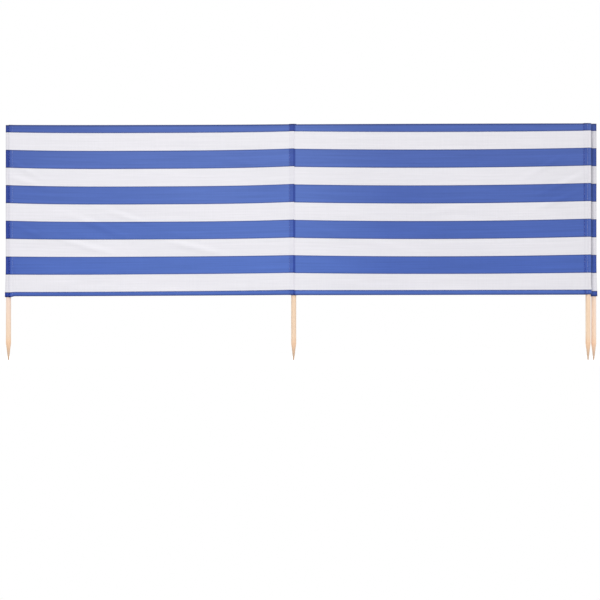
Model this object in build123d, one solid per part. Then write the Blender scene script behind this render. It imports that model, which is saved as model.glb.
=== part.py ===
from build123d import *
import os

# Beach windbreak: one length of striped cloth on five pointed poles, folded in half round the
# left pole, so that two bays stand in front and two behind.
# Millimetres, +Z up. +X runs along the front to the right end and -Y points out of the front.
# The origin is on the flat tip of the left pole.

# Poles
pole_radius = 12
pole_length = 1100
point_length = 78
tip_radius = 3
point_hollow = 0.7
top_chamfer = 2

# Distances between neighbouring poles, along +X. Both bays beside the fold are equally long,
# so the two middle poles stand one behind the other.
left_span = 1338
front_right_span = 1381
rear_right_span = 1408

# Cloth, sleeves and hems
cloth_height = 802
cloth_thickness = 0.9
top_hem_depth = 36
bottom_hem_depth = 22
sleeve_ease = 0.3
flange_width = 21
flange_start = 1
seam_offset = 2
seam_gap = 0.3
lap_gap = 0.3
end_gap = 0.3
edge_gap = 0.05

# Height of the cloth's lower edge at each pole, above the pole tips
lower_edge = {
    "rear_right": 307,
    "rear_middle": 306.5,
    "left": 300,
    "front_middle": 304.5,
    "front_right": 308,
}

# How far each sleeve hangs below the cloth's lower edge, and stands above its upper edge
sleeve_reach = {
    "rear_right": (8, 0),
    "rear_middle": (1, 1.5),
    "left": (5, 0.3),
    "front_middle": (0.5, 1.5),
    "front_right": (0, 1.5),
}

# Free space left between the front and rear sleeves at the middle
row_clearance = 6.6

sleeve_radius = pole_radius + sleeve_ease + cloth_thickness
sheet_inside = sleeve_radius + lap_gap
sheet_outside = sheet_inside + cloth_thickness
hem_thickness = 2 * cloth_thickness
bead_radius = (cloth_thickness + hem_thickness) / 2
row_offset = sleeve_radius + row_clearance / 2

# Pole places seen from above, in the order in which the cloth passes them
pole_places = {
    "rear_right": Vector(left_span + rear_right_span, row_offset),
    "rear_middle": Vector(left_span, row_offset),
    "left": Vector(0, 0),
    "front_middle": Vector(left_span, -row_offset),
    "front_right": Vector(left_span + front_right_span, -row_offset),
}

# Each bay: the poles it runs between, and how far past them its sheet begins and ends.
# A sheet stops at the seam beside a middle pole and on the crown of the sleeve elsewhere.
bays = {
    "rear_right": ("rear_right", "rear_middle", 0, -seam_offset - seam_gap),
    "rear_left": ("rear_middle", "left", -seam_offset + seam_gap, 0),
    "front_left": ("left", "front_middle", flange_start, seam_offset - seam_gap),
    "front_right": ("front_middle", "front_right", seam_offset + seam_gap, 0),
}

# Each sleeve: the bay that it is sewn to, and whether it sits at the start or end of that bay
sleeve_bays = {
    "rear_right": ("rear_right", "start"),
    "rear_middle": ("rear_left", "start"),
    "left": ("front_left", "start"),
    "front_middle": ("front_left", "end"),
    "front_right": ("front_right", "end"),
}


def bay_plane(bay):
    """Upright plane through a bay's two poles: x along the cloth, y up, z out of its face."""
    start, end = (pole_places[name] for name in bays[bay][:2])
    along = (end - start).normalized()
    return Plane(origin=start, x_dir=along, z_dir=along.cross(Vector(0, 0, 1)))


def bay_length(bay):
    start, end = (pole_places[name] for name in bays[bay][:2])
    return (end - start).length


def edge_height(bay, distance):
    """Height of the cloth's lower edge, a distance along the bay from its first pole."""
    start, end = (lower_edge[name] for name in bays[bay][:2])
    return start + (end - start) * distance / bay_length(bay)


def make_pole(name):
    """Turned pole with a hollow-sided point, a blunt tip and a chamfered top."""
    side_middle = (pole_radius + tip_radius) / 2 - point_hollow
    point_side = ThreePointArc(
        (tip_radius, 0), (side_middle, point_length / 2), (pole_radius, point_length)
    )
    shaft_side = Polyline(
        (pole_radius, point_length),
        (pole_radius, pole_length - top_chamfer),
        (pole_radius - top_chamfer, pole_length),
        (0, pole_length),
        (0, 0),
        (tip_radius, 0),
    )
    half_section = Plane.XZ * make_face(point_side + shaft_side)
    return Pos(pole_places[name]) * revolve(half_section, Axis.Z)


def make_sheet(bay):
    """Flat sheet of one bay, between the folded beads of its two hems."""
    _, _, past_start, past_end = bays[bay]
    first, last = past_start, bay_length(bay) + past_end
    turned = bead_radius + edge_gap
    outline = Polyline(
        (first, edge_height(bay, first) + turned),
        (last, edge_height(bay, last) + turned),
        (last, edge_height(bay, last) + cloth_height - turned),
        (first, edge_height(bay, first) + cloth_height - turned),
        close=True,
    )
    sheet_plane = bay_plane(bay).offset(sheet_inside)
    return extrude(sheet_plane * make_face(outline), amount=cloth_thickness)


def make_hem(bay, depth, edge):
    """Edge of the cloth turned in twice behind the sheet, with a rounded bead at the fold."""
    inset = flange_start + flange_width + end_gap
    first, last = inset, bay_length(bay) - inset
    rise = cloth_height if edge == "top" else 0
    plane = bay_plane(bay)
    ends = [
        plane.from_local_coords((distance, edge_height(bay, distance) + rise, 0))
        for distance in (first, last)
    ]
    if edge == "bottom":
        ends.reverse()
    run = ends[1] - ends[0]
    back = sheet_inside - hem_thickness
    bead_side = Polyline(
        (sheet_outside, bead_radius),
        (sheet_inside, bead_radius),
        (sheet_inside, depth),
        (back, depth),
        (back, bead_radius),
    )
    bead_fold = ThreePointArc(
        (back, bead_radius), ((back + sheet_outside) / 2, 0), (sheet_outside, bead_radius)
    )
    section_plane = Plane(origin=ends[0], x_dir=plane.z_dir, z_dir=run.normalized())
    section = section_plane * make_face(bead_side + bead_fold)
    return extrude(section, amount=run.length)


def make_sleeve(name):
    """Tunnel round a pole: closed on top, open below, with a flange sewn behind the sheet."""
    bay, place = sleeve_bays[name]
    side = 1 if place == "start" else -1
    drop, rise = sleeve_reach[name]
    height = drop + cloth_height + rise
    foot = pole_places[name] + Vector(0, 0, lower_edge[name] - drop)
    floor_plane = Plane(origin=foot, x_dir=bay_plane(bay).x_dir * side, z_dir=(0, 0, 1))
    flange_y = -side * (sheet_inside - cloth_thickness / 2)
    flange = Pos(flange_start + flange_width / 2, flange_y) * Rectangle(
        flange_width, cloth_thickness
    )
    outer = Circle(sleeve_radius) + flange
    wall = outer - Circle(pole_radius + sleeve_ease)
    tube = extrude(floor_plane * wall, amount=height)
    lid = extrude(
        floor_plane.offset(height - cloth_thickness) * outer, amount=cloth_thickness
    )
    return tube + lid


parts = {}
for pole_name in pole_places:
    parts["pole_" + pole_name] = make_pole(pole_name)
    parts["sleeve_" + pole_name] = make_sleeve(pole_name)
for bay_name in bays:
    parts["cloth_" + bay_name] = make_sheet(bay_name)
    parts["top_hem_" + bay_name] = make_hem(bay_name, top_hem_depth, "top")
    parts["bottom_hem_" + bay_name] = make_hem(bay_name, bottom_hem_depth, "bottom")

os.makedirs("parts", exist_ok=True)
for node, solid in parts.items():
    export_step(solid, os.path.join("parts", node + ".step"))
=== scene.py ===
import math

import bpy
import numpy as np
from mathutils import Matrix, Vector, noise


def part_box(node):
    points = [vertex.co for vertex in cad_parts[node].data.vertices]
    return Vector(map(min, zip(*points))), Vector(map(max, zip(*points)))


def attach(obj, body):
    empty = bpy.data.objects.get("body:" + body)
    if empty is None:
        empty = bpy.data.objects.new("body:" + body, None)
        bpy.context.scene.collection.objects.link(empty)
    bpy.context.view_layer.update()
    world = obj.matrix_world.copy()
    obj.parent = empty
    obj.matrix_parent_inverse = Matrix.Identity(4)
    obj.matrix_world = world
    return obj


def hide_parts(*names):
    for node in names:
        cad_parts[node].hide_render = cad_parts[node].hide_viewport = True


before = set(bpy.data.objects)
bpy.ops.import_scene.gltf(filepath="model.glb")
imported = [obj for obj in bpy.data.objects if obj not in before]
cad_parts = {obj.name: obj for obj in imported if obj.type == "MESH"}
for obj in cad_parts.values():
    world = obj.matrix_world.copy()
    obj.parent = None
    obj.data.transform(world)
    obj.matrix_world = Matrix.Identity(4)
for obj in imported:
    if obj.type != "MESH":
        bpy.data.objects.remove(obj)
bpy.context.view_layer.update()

# Looks of a beach windbreak that stands folded in half round its left pole. Metres, +Z up, and
# the front faces -Y. Distances along a bay are measured from the axis of its first pole, and
# heights on the cloth from its lower edge.
MM = 0.001
UP = Vector((0, 0, 1))

# Cloth
CLOTH_HEIGHT = 802 * MM
CLOTH_THICKNESS = 0.7 * MM
BLUE_STRIPE = 84.9 * MM
WHITE_STRIPE = 81.5 * MM
TOP_BLUE = 34.3 * MM
BOTTOM_BLUE = 21.9 * MM
TOP_HEM = 36 * MM
BOTTOM_HEM = 22 * MM
HEM_TURN = 9 * MM
EDGE_TURN = 6 * MM
LAYER_STEP = 0.85 * MM
FLANGE_END = 22 * MM
SEAM_INSET = 3 * MM
SEWN = FLANGE_END - SEAM_INSET
CAD_EDGE_GAP = 1.4 * MM

# Mesh spacing of the cloth: on the open sheet, and beside poles and hems
OPEN_STEP = 8.5 * MM
FINE_STEP = 1.6 * MM
FINE_REACH = 30 * MM
MERGE_DISTANCE = 0.01 * MM
SMOOTH_ANGLE = math.radians(50)

# Rows of a turned edge: round its fold, along each of its layers and round its inner fold
FOLD_ROWS = 7
TURN_ROWS = 3
INNER_FOLD_ROWS = 5

# What is left of a hem where it is trimmed short beside a pole, how much flatter it lies there,
# and over what width it comes back
TRIMMED_HEM = 2 * MM
TRIMMED_TURN = 0.4 * MM
TRIMMED_FLATTER = 0.6
TRIM_WIDTH = 1.5 * FINE_STEP

# Pole pockets: their hemmed foot, the slack above it, and the wall, which is snug in front and
# ripples elsewhere
POCKET_COLUMNS = 41
POCKET_EASE = 0.1 * MM
POCKET_HEM = 20 * MM
POCKET_SWELL = 0.9 * MM
SWELL_END = 2.2 * POCKET_HEM
POCKET_SLACK = 3.4 * MM
SLACK_REACH = 150 * MM
SLACK_POWER = 1.4
SNUG_ANGLE = 0.8
RIPPLE_LIFT = 0.2 * MM
RIPPLE_RISE = 0.3 * MM
RIPPLE_ROUND = 1.6
RIPPLE_UP = (4, 9)
RIPPLE_SEED = 70

# The top of a pocket, sewn shut like a bag: how high it closes in, how much it sags and spreads,
# half its thickness there, and how far its outer corner drops
CLOSING_ROWS = 8
CLOSING_ROW = 1.6 * MM
CLOSING_HEIGHT = 5 * MM
CLOSING_SAG = 0.3 * MM
CLOSED_SPREAD = 0.6 * MM
CLOSED_HALF = 0.45 * MM
CORNER_DROP = 1.4 * MM

# The strip of a pocket that lies behind the sheet, and how far its ends stay inside the hems
FLANGE_START = 1 * MM
FLANGE_INSETS = (1.5 * MM, 2.2 * MM)
FLANGE_COLUMNS = 8
FLANGE_ROWS = 60

# The cloth beside a pole: from where to where, off its axis, it is pulled down or pushed up with
# the pocket, its lift over the crown of the pole, and the dent along a sewn line
DROP_ENDS = (4 * MM, 33 * MM)
LIFT_ENDS = (16 * MM, 27 * MM)
LIFT_FADE = 90 * MM
CROWN_LIFT = 0.9 * MM
CROWN_WIDTH = 9 * MM
SWELL_WIDTH = 21 * MM
SEWN_DENT = 0.55 * MM
SEWN_DENT_WIDTH = 1.7 * MM

# The two edges rolled into a seam: how low each lies, with and without a pocket, and how it dips
SEAM_LOWERED = (0.5 * MM, 1.2 * MM)
SEAM_FADE = 5 * MM
SEAM_DIP = 1.7 * MM
SEAM_DIP_WIDTH = 1.5 * MM

# Waves of the taut sheet. Each has the two directions of its noise, as steps for each metre along
# the sheet and up it, then its seed and its rise. They are calm near the poles and at the hems
WAVES = (
    ((2.2, 0), (0, 3.1), 0, 3.4 * MM),
    ((7, 3), (2, 11), 5, 0.85 * MM),
    ((19, 8), (6, 30), 7, 0.22 * MM),
)
CALM_REACH = 160 * MM
CALM_HEM = 0.75
CALM_LEVEL = 0.72

# The valley beside the ridge of each pull line, as shares of the ridge's rise and width
VALLEY_DEPTH = 0.35
VALLEY_OFFSET = 1.9

# How deep the blue is at least in a seam, beside a sewn line that shows, and at the folds of the
# hems, and how much deeper on a ridge, at a pocket's foot and where it is closed. In a seam, beside
# a sewn line, at the hem folds, on a ridge and at a pocket's foot this is painted shade. Each that
# fades comes with its width
SEAM_SHADE, SEAM_SHADE_WIDTH = 0.95, 5.4 * MM
SEWN_SHADES, SEWN_SHADE_WIDTH = (0.4, 0.9), 3.6 * MM
TOP_LINE_SHADE, TOP_LINE_WIDTH = 0.3, 8 * MM
BOTTOM_LINE_SHADE, BOTTOM_LINE_WIDTH = 0.4, 4.5 * MM
RIDGE_SHADE, RIDGE_RISE = 0.1, 2.4 * MM
FOOT_SHADE, FOOT_SHADE_WIDTH = 0.15, 4 * MM
CLOSING_DEPTH = 0.3
FLANGE_DEPTH = 0.3

# How soft the edge of a doubled band is, how its depth grows up a pole, and how much fainter a
# folded side edge is at the top
BAND_BLUR = 1 * MM
BAND_POWER = 1.5
EDGE_FADE = 0.3

# How much a slope of the folds shades the cloth, and the run over which the slope is taken
FOLD_SHADE = 0.3
FOLD_RUN = 8 * MM

# Sewing
STITCH_PITCH = 4.2 * MM
STITCH_LENGTH = 3.1 * MM
THREAD_WIDTH = 0.5 * MM
THREAD_FLATNESS = 0.8
STITCH_DIP = 0.3
SEAM_END = 4 * MM


def vertices_of(node):
    """Vertices of a CAD node at rest, one row each."""
    return np.array([v.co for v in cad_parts[node].data.vertices])


def pole_axis(pole):
    """Foot of a pole's axis, on the plane of the pole tips."""
    low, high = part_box("pole_" + pole)
    return Vector(((low.x + high.x) / 2, (low.y + high.y) / 2, 0))


def pole_width(pole):
    low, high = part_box("pole_" + pole)
    return high.x - low.x


def smooth_step(low, high, value):
    share = np.clip((value - low) / (high - low), 0, 1)
    return share * share * (3 - 2 * share)


class Bay:
    """One length of the cloth between two poles."""

    def __init__(self, name, poles, pockets, seams, hang, hang_power, tone, shade, folds):
        self.name = name
        self.body = name + "_bay"
        self.poles = poles
        self.pockets = pockets
        self.seams = seams
        self.hang = np.array(hang) * (1, MM, MM, MM)
        self.hang_power = hang_power
        self.tone = tone
        self.shade = shade
        self.folds = folds
        self.start, self.end = (pole_axis(pole) for pole in poles)
        self.length = (self.end - self.start).length
        self.along = (self.end - self.start).normalized()
        self.outward = self.along.cross(UP)
        sheet = vertices_of("cloth_" + name) - np.array(self.start)
        distance = sheet @ np.array(self.along)
        face = sheet @ np.array(self.outward)
        self.first, self.last = distance.min(), distance.max()
        self.face = (face.min() + face.max()) / 2
        edges = [sheet[np.abs(distance - at) < MM, 2].min() for at in (self.first, self.last)]
        self.slope = (edges[1] - edges[0]) / (self.last - self.first)
        self.corner = edges[0] - CAD_EDGE_GAP - self.slope * self.first
        sleeves = [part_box("sleeve_" + pole) for pole in poles]
        feet = [self.foot(at) for at in (0, self.length)]
        self.drops = [foot - sleeve[0].z for foot, sleeve in zip(feet, sleeves)]
        self.lifts = [sleeve[1].z - foot - CLOTH_HEIGHT for foot, sleeve in zip(feet, sleeves)]
        self.fades = [DROP_FADES[pole] for pole in poles]
        self.sewn = [SEWN_LINES[pole] for pole in poles]
        self.bands = [BAND_DEPTHS[pole] for pole in poles]
        self.edges = [EDGE_SHADES.get(pole) for pole in poles]

    def foot(self, distance):
        """Height of the cloth's straight lower edge above the pole tips."""
        return self.corner + self.slope * distance

    def from_pole(self, place, distance):
        """Distance from the axis of the bay's first (0) or second (1) pole."""
        return distance if place == 0 else self.length - distance

    def from_end(self, place, distance):
        """Distance from the end of the sheet beside its first (0) or second (1) pole."""
        return distance - self.first if place == 0 else self.last - distance

    def from_sewn(self, place, distance, height):
        """Distance from the line in which the pocket at that pole is sewn on."""
        low, high = self.sewn[place]
        level = np.clip(height / CLOTH_HEIGHT, 0, 1)
        return self.from_pole(place, distance) - low - (high - low) * level

    def place(self, distance, height, out):
        """Points of the row frame, for arrays of places in the bay's own frame."""
        flat = np.multiply.outer(distance, np.array(self.along))
        flat += np.multiply.outer(out, np.array(self.outward))
        flat += np.multiply.outer(height, np.array(UP))
        return flat + np.array(self.start)


# How high the slack at the foot of each pole's cloth reaches
DROP_FADES = {
    "left": 25 * MM,
    "front_middle": 30 * MM,
    "front_right": 30 * MM,
    "rear_middle": 30 * MM,
    "rear_right": 60 * MM,
}

# Distance from the pole's axis of the line in which its pocket is sewn on, at foot and top. Those
# on the right are sewn on askew
SEWN_LINES = {
    "left": (SEWN, SEWN),
    "front_middle": (SEWN, SEWN),
    "front_right": (13.5 * MM, 21 * MM),
    "rear_middle": (SEWN, SEWN),
    "rear_right": (17 * MM, 20 * MM),
}

# How deep the blue is where cloth lies double beside a pole, at foot and top: partly the doubled
# cloth and partly painted shade of the pole behind it
BAND_DEPTHS = {
    "left": (0.22, 0.34),
    "front_middle": (0.28, 0.6),
    "front_right": (0.38, 0.5),
    "rear_middle": (0.3, 0.5),
    "rear_right": (0.22, 0.34),
}

# How deep the blue is along a sheet's folded side edge, and how far from it. This is painted
# shade, where the edge turns away from the light
EDGE_SHADES = {
    "left": (1.45, 8.5 * MM),
    "front_right": (0.55, 5 * MM),
    "rear_right": (0.4, 4 * MM),
}

# How much deeper than the sheet the blue of the bottom and top hem is
HEM_DEPTHS = {
    "front_left": (0.12, 0.12),
    "front_right": (-0.1, 0),
    "rear_left": (0.05, 0.06),
    "rear_right": (0.05, 0.06),
}

# Pull lines in each bay's cloth: distance along it, height on it, slant in degrees, length,
# width, and how far the ridge stands out in millimetres. The front ones are where the photograph
# shows them.
FRONT_LEFT_FOLDS = [
    (0.36, 0.235, -15, 0.26, 0.013, 2.3),
    (0.43, 0.325, -22, 0.24, 0.014, 2.1),
    (0.56, 0.372, -18, 0.22, 0.012, 1.8),
    (0.87, 0.228, -13, 0.26, 0.013, 2.1),
    (0.085, 0.535, -17, 0.20, 0.012, 1.6),
    (0.065, 0.60, -27, 0.15, 0.011, 1.5),
    (0.10, 0.30, -24, 0.20, 0.012, 1.3),
    (0.020, 0.14, 94, 0.20, 0.0045, 1.8),
    (0.031, 0.12, 98, 0.22, 0.0045, 1.3),
    (0.017, 0.36, 92, 0.18, 0.0045, 1.3),
    (1.10, 0.62, -12, 0.24, 0.013, 1.0),
]
FRONT_RIGHT_FOLDS = [
    (1.27, 0.52, 24, 0.22, 0.012, 1.8),
    (1.24, 0.44, 20, 0.24, 0.012, 1.6),
    (1.18, 0.60, 28, 0.20, 0.013, 1.3),
    (0.15, 0.30, -16, 0.24, 0.013, 0.6),
    (0.42, 0.24, -12, 0.26, 0.014, 0.6),
    (0.70, 0.40, 10, 0.26, 0.014, 1.0),
]
REAR_LEFT_FOLDS = [
    (0.30, 0.50, 16, 0.26, 0.013, 1.8),
    (0.62, 0.30, -14, 0.26, 0.014, 1.6),
    (1.22, 0.46, 22, 0.22, 0.012, 1.8),
    (1.18, 0.28, 18, 0.22, 0.012, 1.6),
    (0.90, 0.58, -10, 0.24, 0.013, 1.0),
]
REAR_RIGHT_FOLDS = [
    (0.12, 0.40, -22, 0.22, 0.012, 1.8),
    (0.10, 0.25, -16, 0.20, 0.012, 1.6),
    (0.50, 0.33, 12, 0.26, 0.014, 1.3),
    (0.95, 0.50, -13, 0.26, 0.013, 1.3),
]

# How far the cloth hangs below straight lines: height on the cloth as a share, then how many
# millimetres at the bay's first pole, in its middle and at its last pole. The front ones follow
# the photograph.
FRONT_LEFT_HANG = (
    (0.00, 1.0, 1.2, -0.8),
    (0.03, 2.2, 2.1, -4.0),
    (0.18, 1.8, 3.4, -1.0),
    (0.39, 0.3, 6.6, -0.9),
    (0.60, -0.9, 8.1, -1.6),
    (0.80, 0.1, 7.2, -2.8),
    (0.96, 0.6, 5.6, 0.2),
    (1.00, -0.6, 2.0, 0.6),
)
FRONT_RIGHT_HANG = (
    (0.00, 0.3, 1.0, 0.7),
    (0.03, -2.4, -0.9, -0.8),
    (0.13, -1.0, 5.0, 1.0),
    (0.28, 0.2, 7.6, -0.6),
    (0.49, 0.6, 7.5, -1.8),
    (0.70, 0.3, 6.4, -2.6),
    (0.86, -0.3, 5.0, -1.6),
    (0.96, 0.4, 4.8, 0.8),
    (1.00, 1.4, 0.2, 0.4),
)
REAR_HANG = (
    (0.00, 0.4, 1.2, 0.4),
    (0.04, -0.8, 2.6, -0.8),
    (0.20, 0.6, 5.2, -0.6),
    (0.50, -0.2, 7.8, -1.2),
    (0.82, -0.8, 6.0, -1.4),
    (0.96, 0.5, 4.6, 0.4),
)
REAR_LEFT_HANG = (*REAR_HANG, (1.00, 3.8, 3.8, 0.0))
REAR_RIGHT_HANG = (*REAR_HANG, (1.00, 0.4, 1.2, 5.4))

# Every bay: its two poles, which of its ends carry a pocket, which end in the seam beside a
# middle pole, how it hangs and how square that hang is, how much painted shade deepens its blue
# and darkens its cloth at places along it, and its folds
BAYS = {
    "front_left": Bay(
        "front_left", ("left", "front_middle"), (True, True), (False, True), FRONT_LEFT_HANG, 3.0,
        ((0, 0.27), (0.2, 0.17), (0.45, 0.12), (0.9, 0.03), (1.34, 0.04)),
        ((0, 0.985), (0.3, 1), (1.34, 1)), FRONT_LEFT_FOLDS,
    ),
    "front_right": Bay(
        "front_right", ("front_middle", "front_right"), (False, True), (True, False),
        FRONT_RIGHT_HANG, 2.0, ((0, 0.04), (0.15, 0.09), (0.45, 0.27), (1.38, 0.28)),
        ((0, 1), (0.3, 0.98), (1.1, 0.96), (1.25, 0.945), (1.38, 0.935)), FRONT_RIGHT_FOLDS,
    ),
    "rear_left": Bay(
        "rear_left", ("rear_middle", "left"), (True, False), (True, False), REAR_LEFT_HANG, 2.4,
        ((0, 0.08), (0.5, 0.02), (1.0, 0.12), (1.34, 0.24)),
        ((0, 1), (1.1, 1), (1.34, 0.98)), REAR_LEFT_FOLDS,
    ),
    "rear_right": Bay(
        "rear_right", ("rear_right", "rear_middle"), (True, False), (False, True),
        REAR_RIGHT_HANG, 2.2,
        ((0, 0.26), (0.3, 0.14), (0.9, 0.03), (1.4, 0.06)),
        ((0, 0.96), (0.3, 1), (1.4, 1)), REAR_RIGHT_FOLDS,
    ),
}


class Pocket:
    """Tunnel of cloth round a pole, sewn to one bay at that bay's first (0) or second (1) pole.
    depths are how deep its blue is at its inner side, in front and at its outer side: partly its
    doubled cloth over the pole and partly painted shade, most at the outer side, which turns away
    from the light. shades is the painted shade that darkens it at foot and top, slacks how loose
    it is at its outer and inner side all the way up, and trim how far it is sewn short."""

    def __init__(self, bay, place, depths, shades=(1, 1), slacks=(0, 0), trim=0.0):
        self.bay = BAYS[bay]
        self.place = place
        self.depths = depths
        self.shades = shades
        self.slacks = slacks
        self.trim = trim


POCKETS = {
    "left": Pocket("front_left", 0, (0.68, 0.68, 1.2)),
    "front_middle": Pocket("front_left", 1, (0.3, 0.3, 0.5)),
    "front_right": Pocket("front_right", 1, (0.22, 0.22, 0.34), slacks=(1.6 * MM, 0)),
    "rear_middle": Pocket("rear_left", 0, (0.3, 0.3, 0.5), trim=2.2 * MM),
    # The rear right pocket's shades are painted shadow of the front right pocket, strongest at its
    # top
    "rear_right": Pocket(
        "rear_right", 0, (0.05, 0.45, 1), shades=(1, 0.88), slacks=(0, 3.4 * MM)
    ),
}


def pocket_swell(height):
    """How far the cloth round a pole stands out at its hemmed foot."""
    return POCKET_SWELL * (1 - smooth_step(POCKET_HEM, SWELL_END, height))


def hang_of(bay, distance, height):
    """How far the cloth hangs below straight lines, most between the poles."""
    share = np.clip(distance / bay.length, 0, 1)
    level = height / CLOTH_HEIGHT
    first, middle, last = (np.interp(level, bay.hang[:, 0], bay.hang[:, i]) for i in (1, 2, 3))
    along = 1 - np.abs(2 * share - 1) ** bay.hang_power
    return first * (1 - share) + last * share + (middle - (first + last) / 2) * along


def billow_of(bay, distance, height):
    """Slow waves of the taut sheet, faint near the poles and hems."""
    flat_distance, flat_height = np.ravel(distance), np.ravel(height)
    seed = 10 * (1 + list(BAYS).index(bay.name))
    slow = np.zeros(len(flat_distance))
    for along, up, shift, rise in WAVES:
        slow += rise * np.array([
            noise.noise(Vector((
                x * along[0] + y * along[1], x * up[0] + y * up[1], seed + shift
            )))
            for x, y in zip(flat_distance, flat_height)
        ])
    from_pole = np.minimum(flat_distance - bay.first, bay.last - flat_distance)
    from_middle = np.abs(2 * flat_height / CLOTH_HEIGHT - 1)
    calm = smooth_step(0, CALM_REACH, from_pole)
    calm = calm * (1 - CALM_HEM * smooth_step(CALM_LEVEL, 1, from_middle))
    return (slow * calm).reshape(np.shape(distance))


def folds_of(bay, distance, height):
    """Faint ridges where the cloth is pulled askew, each fading towards its ends."""
    total = np.zeros(np.shape(distance))
    for centre, level, slant, length, width, rise in bay.folds:
        turn = math.radians(slant)
        x, y = distance - centre, height - level
        run = (x * math.cos(turn) + y * math.sin(turn)) / (length / 2)
        side = (y * math.cos(turn) - x * math.sin(turn)) / width
        valley = VALLEY_DEPTH * np.exp(-((side - VALLEY_OFFSET) ** 2))
        total += rise * MM * (np.exp(-side**2) - valley) * np.exp(-run**2)
    return total


def end_rise(bay, distance, height):
    """How far the cloth is pushed up by its poles, or pulled down with their pockets."""
    total = np.zeros(np.shape(distance))
    for place in (0, 1):
        beside = 1 - smooth_step(*DROP_ENDS, bay.from_pole(place, distance))
        total -= bay.drops[place] * beside * np.exp(-np.maximum(height, 0) / bay.fades[place])
        if not bay.seams[place] or bay.pockets[place]:
            over = 1 - smooth_step(*LIFT_ENDS, bay.from_pole(place, distance))
            total += bay.lifts[place] * over * np.exp((height - CLOTH_HEIGHT) / LIFT_FADE)
    return total


def end_shape(bay, distance, height):
    """Lift over the crown of a pole, dents along sewn lines and edges rolled into a seam."""
    total = np.zeros(np.shape(distance))
    for place in (0, 1):
        from_axis = bay.from_pole(place, distance)
        total += CROWN_LIFT * np.exp(-((from_axis / CROWN_WIDTH) ** 2))
        total += pocket_swell(height) * np.exp(-((np.maximum(from_axis, 0) / SWELL_WIDTH) ** 4))
        if bay.pockets[place]:
            sewn = bay.from_sewn(place, distance, height)
            total -= SEWN_DENT * np.exp(-((sewn / SEWN_DENT_WIDTH) ** 2))
        if bay.seams[place]:
            edge = bay.from_end(place, distance)
            lowered = SEAM_LOWERED[0 if bay.pockets[place] else 1]
            total -= lowered * np.exp(-edge / SEAM_FADE)
            total -= SEAM_DIP * np.exp(-((edge / SEAM_DIP_WIDTH) ** 2))
    return total


def sheet_points(bay, distance, height, behind):
    """Row-frame points of the sheet, or of a layer turned in behind it."""
    out = bay.face + billow_of(bay, distance, height) + folds_of(bay, distance, height)
    out = out + end_shape(bay, distance, height) - behind
    rise = bay.foot(distance) + height - hang_of(bay, distance, height)
    return bay.place(distance, rise + end_rise(bay, distance, height), out)


def spaced(first, last, fine_last=True):
    """Places from first to last, close together near the first and, as a rule, the last."""
    places = [first]
    while True:
        here = places[-1]
        reach = min(here - first, last - here) if fine_last else here - first
        step = FINE_STEP + (OPEN_STEP - FINE_STEP) * min(1, max(0, reach - FINE_REACH) / FINE_REACH)
        if here + step * 1.5 >= last:
            return np.array([*places, last])
        places.append(here + step)


def turned_edge(depth, step, inner=0.0):
    """Cloth turned in behind an edge: pairs of distance from the edge and distance behind,
    from the fold outwards to the cut edge. A second, inner turn comes back between the layers."""
    radius = step / 2
    path = [
        (radius * (1 - math.sin(a)), radius * (1 - math.cos(a)))
        for a in np.linspace(0, math.pi, FOLD_ROWS)
    ]
    rows = range(1, TURN_ROWS + 1)
    path += [(radius + (depth - radius) * row / TURN_ROWS, step) for row in rows]
    if inner:
        small = step / 4
        path += [
            (depth + small * math.sin(a), step - small * (1 - math.cos(a)))
            for a in np.linspace(0, math.pi, INNER_FOLD_ROWS)[1:]
        ]
        path += [(depth - inner * row / TURN_ROWS, step / 2) for row in rows]
    return np.array(path)


def path_lengths(path):
    """Distance along a path of points, from its first one."""
    steps = np.hypot(*np.diff(path, axis=0).T)
    return np.concatenate([[0], np.cumsum(steps)])


def face_normals(points):
    """Normals of a grid of points, outward when rows go up and columns to the right."""
    by_column = np.gradient(points, axis=1)
    by_row = np.gradient(points, axis=0)
    normals = np.cross(by_column, by_row)
    return normals / np.maximum(np.linalg.norm(normals, axis=2, keepdims=True), 1e-12)


def cloth_mesh(grids, thickness):
    """Mesh data of cloth of real thickness: vertices, faces, map places, depths and shades.
    A grid is (points, u, v, depth, shade, closed), by rows, and may close on itself by columns."""
    vertices, faces, places, depths, shades = [], [], [], [], []
    for points, u, v, depth, shade, closed in grids:
        rows, columns = points.shape[:2]
        if closed:
            ring = np.concatenate([points[:, -2:-1], points, points[:, 1:2]], axis=1)
            normals = face_normals(ring)[:, 1:-1]
        else:
            normals = face_normals(points)
        base = len(vertices)
        for side in (1, -1):
            vertices.extend((points + normals * side * thickness / 2).reshape(-1, 3))
            places.extend(np.stack([u, v], axis=2).reshape(-1, 2))
            depths.extend(depth.ravel())
            shades.extend(shade.ravel())
        count = rows * columns
        outer = np.arange(count).reshape(rows, columns) + base
        inner = outer + count
        a, b, c, d = outer[:-1, :-1], outer[:-1, 1:], outer[1:, 1:], outer[1:, :-1]
        faces.extend(np.stack([a, b, c, d], axis=2).reshape(-1, 4))
        a, b, c, d = inner[:-1, :-1], inner[1:, :-1], inner[1:, 1:], inner[:-1, 1:]
        faces.extend(np.stack([a, b, c, d], axis=2).reshape(-1, 4))
        rims = [(outer[0], inner[0], 1), (outer[-1], inner[-1], -1)]
        if not closed:
            rims += [(outer[:, 0], inner[:, 0], -1), (outer[:, -1], inner[:, -1], 1)]
        for top, under, turn in rims:
            pairs = (top[1:], top[:-1]) if turn == 1 else (top[:-1], top[1:])
            unders = (under[:-1], under[1:]) if turn == 1 else (under[1:], under[:-1])
            faces.extend(np.stack([*pairs, *unders], axis=1))
    return [np.array(part) for part in (vertices, faces, places, depths, shades)]


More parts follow.
